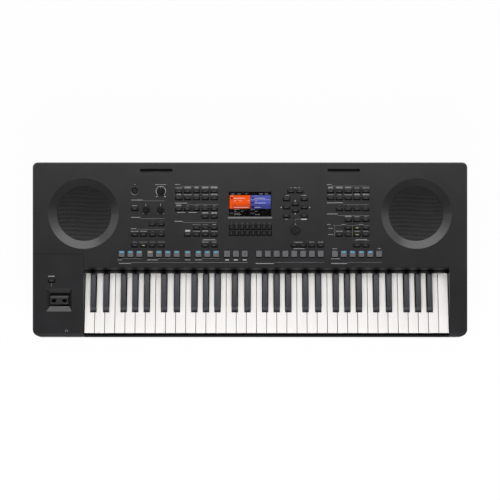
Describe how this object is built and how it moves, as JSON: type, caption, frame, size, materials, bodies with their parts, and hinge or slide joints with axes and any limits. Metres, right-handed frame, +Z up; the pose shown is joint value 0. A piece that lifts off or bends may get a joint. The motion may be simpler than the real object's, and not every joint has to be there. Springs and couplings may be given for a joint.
{
  "type": "arranger keyboard",
  "caption": "Black arranger keyboard with sloping control panel, round speakers, colour display, push buttons, knobs, pitch wheel and a full row of sprung piano-style keys.",
  "frame": {"origin": "middle of the outer box on the surface that the rubber feet stand on", "axes": "+X to the right as the player sees it, +Y to the rear, +Z up"},
  "size_m": [1.004, 0.41, 0.1336],
  "materials": {
    "case_charcoal": "fine moulded texture, satin",
    "base_black": "coarse moulded texture",
    "key_white": "polished",
    "key_black": "fine satin",
    "button_black": "satin",
    "button_grey": "satin",
    "knob_black": "satin",
    "wheel_black": "soft touch",
    "grille_black": "satin",
    "screen_window": "clear, polished",
    "display_panel": "lit display",
    "socket_black": "moulded",
    "socket_steel": "plated",
    "screw_steel": "blackened",
    "foot_rubber": "matt",
    "chassis_grey": "moulded",
    "stop_felt": "felt",
    "contact_rubber": "silicone",
    "board_green": "solder mask",
    "speaker_steel": "black paint",
    "speaker_paper": "pulp",
    "speaker_magnet": "ferrite"
  },
  "bodies": {
    "case": {"top_case": "case_charcoal", "bottom_case": "base_black", "front_rail": "case_charcoal", "rubber_feet": "foot_rubber", "case_screws": "screw_steel", "speaker_grille_left": "grille_black", "speaker_grille_right": "grille_black", "display_window": "screen_window", "audio_jacks": "socket_black", "usb_ports": "socket_steel", "dc_inlet": "socket_black", "key_chassis": "chassis_grey", "key_pivot_rod": "screw_steel", "key_felt": "stop_felt", "contact_board": "board_green", "contact_rubber": "contact_rubber", "speaker_frames": "speaker_steel", "speaker_cones": "speaker_paper", "speaker_magnets": "speaker_magnet", "display_module": "display_panel", "circuit_boards": "board_green", "panel_boards": "board_green", "tact_switches": "socket_black", "knob_potentiometers": "socket_steel", "pitch_wheel_bracket": "chassis_grey"},
    "white_keys_c_e_g_b_1": {"white_keys_c_e_g_b_1": "key_white"},
    "white_keys_d_f_a_1": {"white_keys_d_f_a_1": "key_white"},
    "black_keys_1": {"black_keys_1": "key_black"},
    "white_keys_c_e_g_b_2": {"white_keys_c_e_g_b_2": "key_white"},
    "white_keys_d_f_a_2": {"white_keys_d_f_a_2": "key_white"},
    "black_keys_2": {"black_keys_2": "key_black"},
    "white_keys_c_e_g_b_3": {"white_keys_c_e_g_b_3": "key_white"},
    "white_keys_d_f_a_3": {"white_keys_d_f_a_3": "key_white"},
    "black_keys_3": {"black_keys_3": "key_black"},
    "white_keys_c_e_g_b_4": {"white_keys_c_e_g_b_4": "key_white"},
    "white_keys_d_f_a_4": {"white_keys_d_f_a_4": "key_white"},
    "black_keys_4": {"black_keys_4": "key_black"},
    "white_keys_c_e_g_b_5": {"white_keys_c_e_g_b_5": "key_white"},
    "white_keys_d_f_a_5": {"white_keys_d_f_a_5": "key_white"},
    "black_keys_5": {"black_keys_5": "key_black"},
    "white_key_top_c": {"white_key_top_c": "key_white"},
    "tempo_buttons": {"tempo_buttons": "button_black"},
    "style_buttons": {"style_buttons": "button_black"},
    "song_buttons": {"song_buttons": "button_black"},
    "control_buttons": {"control_buttons": "button_black"},
    "category_buttons": {"category_buttons": "button_black"},
    "navigation_buttons": {"navigation_buttons": "button_black"},
    "setup_buttons": {"setup_buttons": "button_black"},
    "voice_buttons": {"voice_buttons": "button_black"},
    "part_buttons": {"part_buttons": "button_black"},
    "modulation_button": {"modulation_button": "button_black"},
    "style_control_buttons": {"style_control_buttons": "button_grey"},
    "registration_buttons": {"registration_buttons": "button_grey"},
    "one_touch_buttons": {"one_touch_buttons": "button_grey"},
    "power_button": {"power_button": "button_black"},
    "master_volume_knob": {"master_volume_knob": "knob_black"},
    "live_knob_left": {"live_knob_left": "knob_black"},
    "live_knob_right": {"live_knob_right": "knob_black"},
    "data_dial": {"data_dial": "knob_black"},
    "pitch_wheel": {"pitch_wheel": "wheel_black"}
  },
  "joints": [
    {"name": "white_keys_c_e_g_b_1_press", "type": "hinge", "parent": "case", "child": "white_keys_c_e_g_b_1", "pos_m": [0, 0, 0.063], "axis": [1, 0, 0], "range_deg": [0, 2.9], "stiffness_Nm_per_rad": 1.6, "springref_deg": -14.32},
    {"name": "white_keys_d_f_a_1_press", "type": "hinge", "parent": "case", "child": "white_keys_d_f_a_1", "pos_m": [0, 0, 0.063], "axis": [1, 0, 0], "range_deg": [0, 2.9], "stiffness_Nm_per_rad": 1.2, "springref_deg": -14.32},
    {"name": "black_keys_1_press", "type": "hinge", "parent": "case", "child": "black_keys_1", "pos_m": [0, 0, 0.063], "axis": [1, 0, 0], "range_deg": [0, 2.9], "stiffness_Nm_per_rad": 2, "springref_deg": -14.32},
    {"name": "white_keys_c_e_g_b_2_press", "type": "hinge", "parent": "case", "child": "white_keys_c_e_g_b_2", "pos_m": [0, 0, 0.063], "axis": [1, 0, 0], "range_deg": [0, 2.9], "stiffness_Nm_per_rad": 1.6, "springref_deg": -14.32},
    {"name": "white_keys_d_f_a_2_press", "type": "hinge", "parent": "case", "child": "white_keys_d_f_a_2", "pos_m": [0, 0, 0.063], "axis": [1, 0, 0], "range_deg": [0, 2.9], "stiffness_Nm_per_rad": 1.2, "springref_deg": -14.32},
    {"name": "black_keys_2_press", "type": "hinge", "parent": "case", "child": "black_keys_2", "pos_m": [0, 0, 0.063], "axis": [1, 0, 0], "range_deg": [0, 2.9], "stiffness_Nm_per_rad": 2, "springref_deg": -14.32},
    {"name": "white_keys_c_e_g_b_3_press", "type": "hinge", "parent": "case", "child": "white_keys_c_e_g_b_3", "pos_m": [0, 0, 0.063], "axis": [1, 0, 0], "range_deg": [0, 2.9], "stiffness_Nm_per_rad": 1.6, "springref_deg": -14.32},
    {"name": "white_keys_d_f_a_3_press", "type": "hinge", "parent": "case", "child": "white_keys_d_f_a_3", "pos_m": [0, 0, 0.063], "axis": [1, 0, 0], "range_deg": [0, 2.9], "stiffness_Nm_per_rad": 1.2, "springref_deg": -14.32},
    {"name": "black_keys_3_press", "type": "hinge", "parent": "case", "child": "black_keys_3", "pos_m": [0, 0, 0.063], "axis": [1, 0, 0], "range_deg": [0, 2.9], "stiffness_Nm_per_rad": 2, "springref_deg": -14.32},
    {"name": "white_keys_c_e_g_b_4_press", "type": "hinge", "parent": "case", "child": "white_keys_c_e_g_b_4", "pos_m": [0, 0, 0.063], "axis": [1, 0, 0], "range_deg": [0, 2.9], "stiffness_Nm_per_rad": 1.6, "springref_deg": -14.32},
    {"name": "white_keys_d_f_a_4_press", "type": "hinge", "parent": "case", "child": "white_keys_d_f_a_4", "pos_m": [0, 0, 0.063], "axis": [1, 0, 0], "range_deg": [0, 2.9], "stiffness_Nm_per_rad": 1.2, "springref_deg": -14.32},
    {"name": "black_keys_4_press", "type": "hinge", "parent": "case", "child": "black_keys_4", "pos_m": [0, 0, 0.063], "axis": [1, 0, 0], "range_deg": [0, 2.9], "stiffness_Nm_per_rad": 2, "springref_deg": -14.32},
    {"name": "white_keys_c_e_g_b_5_press", "type": "hinge", "parent": "case", "child": "white_keys_c_e_g_b_5", "pos_m": [0, 0, 0.063], "axis": [1, 0, 0], "range_deg": [0, 2.9], "stiffness_Nm_per_rad": 1.6, "springref_deg": -14.32},
    {"name": "white_keys_d_f_a_5_press", "type": "hinge", "parent": "case", "child": "white_keys_d_f_a_5", "pos_m": [0, 0, 0.063], "axis": [1, 0, 0], "range_deg": [0, 2.9], "stiffness_Nm_per_rad": 1.2, "springref_deg": -14.32},
    {"name": "black_keys_5_press", "type": "hinge", "parent": "case", "child": "black_keys_5", "pos_m": [0, 0, 0.063], "axis": [1, 0, 0], "range_deg": [0, 2.9], "stiffness_Nm_per_rad": 2, "springref_deg": -14.32},
    {"name": "white_key_top_c_press", "type": "hinge", "parent": "case", "child": "white_key_top_c", "pos_m": [0, 0, 0.063], "axis": [1, 0, 0], "range_deg": [0, 2.9], "stiffness_Nm_per_rad": 0.4, "springref_deg": -14.32},
    {"name": "tempo_buttons_press", "type": "slide", "parent": "case", "child": "tempo_buttons", "axis": [0, 0.1564, -0.9877], "range_m": [0, 0.001], "stiffness_N_per_m": 440, "springref_m": -0.006},
    {"name": "style_buttons_press", "type": "slide", "parent": "case", "child": "style_buttons", "axis": [0, 0.1564, -0.9877], "range_m": [0, 0.001], "stiffness_N_per_m": 400, "springref_m": -0.006},
    {"name": "song_buttons_press", "type": "slide", "parent": "case", "child": "song_buttons", "axis": [0, 0.1564, -0.9877], "range_m": [0, 0.001], "stiffness_N_per_m": 280, "springref_m": -0.006},
    {"name": "control_buttons_press", "type": "slide", "parent": "case", "child": "control_buttons", "axis": [0, 0.1564, -0.9877], "range_m": [0, 0.001], "stiffness_N_per_m": 360, "springref_m": -0.006},
    {"name": "category_buttons_press", "type": "slide", "parent": "case", "child": "category_buttons", "axis": [0, 0.1564, -0.9877], "range_m": [0, 0.001], "stiffness_N_per_m": 640, "springref_m": -0.006},
    {"name": "navigation_buttons_press", "type": "slide", "parent": "case", "child": "navigation_buttons", "axis": [0, 0.1564, -0.9877], "range_m": [0, 0.001], "stiffness_N_per_m": 400, "springref_m": -0.006},
    {"name": "setup_buttons_press", "type": "slide", "parent": "case", "child": "setup_buttons", "axis": [0, 0.1564, -0.9877], "range_m": [0, 0.001], "stiffness_N_per_m": 160, "springref_m": -0.006},
    {"name": "voice_buttons_press", "type": "slide", "parent": "case", "child": "voice_buttons", "axis": [0, 0.1564, -0.9877], "range_m": [0, 0.001], "stiffness_N_per_m": 400, "springref_m": -0.006},
    {"name": "part_buttons_press", "type": "slide", "parent": "case", "child": "part_buttons", "axis": [0, 0.1564, -0.9877], "range_m": [0, 0.001], "stiffness_N_per_m": 640, "springref_m": -0.006},
    {"name": "modulation_button_press", "type": "slide", "parent": "case", "child": "modulation_button", "axis": [0, 0.1564, -0.9877], "range_m": [0, 0.001], "stiffness_N_per_m": 40, "springref_m": -0.006},
    {"name": "style_control_buttons_press", "type": "slide", "parent": "case", "child": "style_control_buttons", "axis": [0, 0.1564, -0.9877], "range_m": [0, 0.001], "stiffness_N_per_m": 560, "springref_m": -0.006},
    {"name": "registration_buttons_press", "type": "slide", "parent": "case", "child": "registration_buttons", "axis": [0, 0.1564, -0.9877], "range_m": [0, 0.001], "stiffness_N_per_m": 320, "springref_m": -0.006},
    {"name": "one_touch_buttons_press", "type": "slide", "parent": "case", "child": "one_touch_buttons", "axis": [0, 0.1564, -0.9877], "range_m": [0, 0.001], "stiffness_N_per_m": 240, "springref_m": -0.006},
    {"name": "power_button_press", "type": "slide", "parent": "case", "child": "power_button", "axis": [0, 0.1564, -0.9877], "range_m": [0, 0.001], "stiffness_N_per_m": 40, "springref_m": -0.006},
    {"name": "master_volume_knob_turn", "type": "hinge", "parent": "case", "child": "master_volume_knob", "pos_m": [-0.2058, 0.12572, 0.1236], "axis": [0, -0.1564, 0.9877], "range_deg": [-150, 150]},
    {"name": "live_knob_left_turn", "type": "hinge", "parent": "case", "child": "live_knob_left", "pos_m": [-0.2397, 0.08325, 0.11687], "axis": [0, -0.1564, 0.9877], "range_deg": [-150, 150]},
    {"name": "live_knob_right_turn", "type": "hinge", "parent": "case", "child": "live_knob_right", "pos_m": [-0.2065, 0.08325, 0.11687], "axis": [0, -0.1564, 0.9877], "range_deg": [-150, 150]},
    {"name": "data_dial_turn", "type": "hinge", "parent": "case", "child": "data_dial", "pos_m": [0.1048, 0.03831, 0.10976], "axis": [0, -0.1564, 0.9877], "continuous": true},
    {"name": "pitch_wheel_bend", "type": "hinge", "parent": "case", "child": "pitch_wheel", "pos_m": [-0.441, -0.1184, 0.06044], "axis": [1, 0, 0], "range_deg": [-28, 28], "stiffness_Nm_per_rad": 0.08}
  ]
}
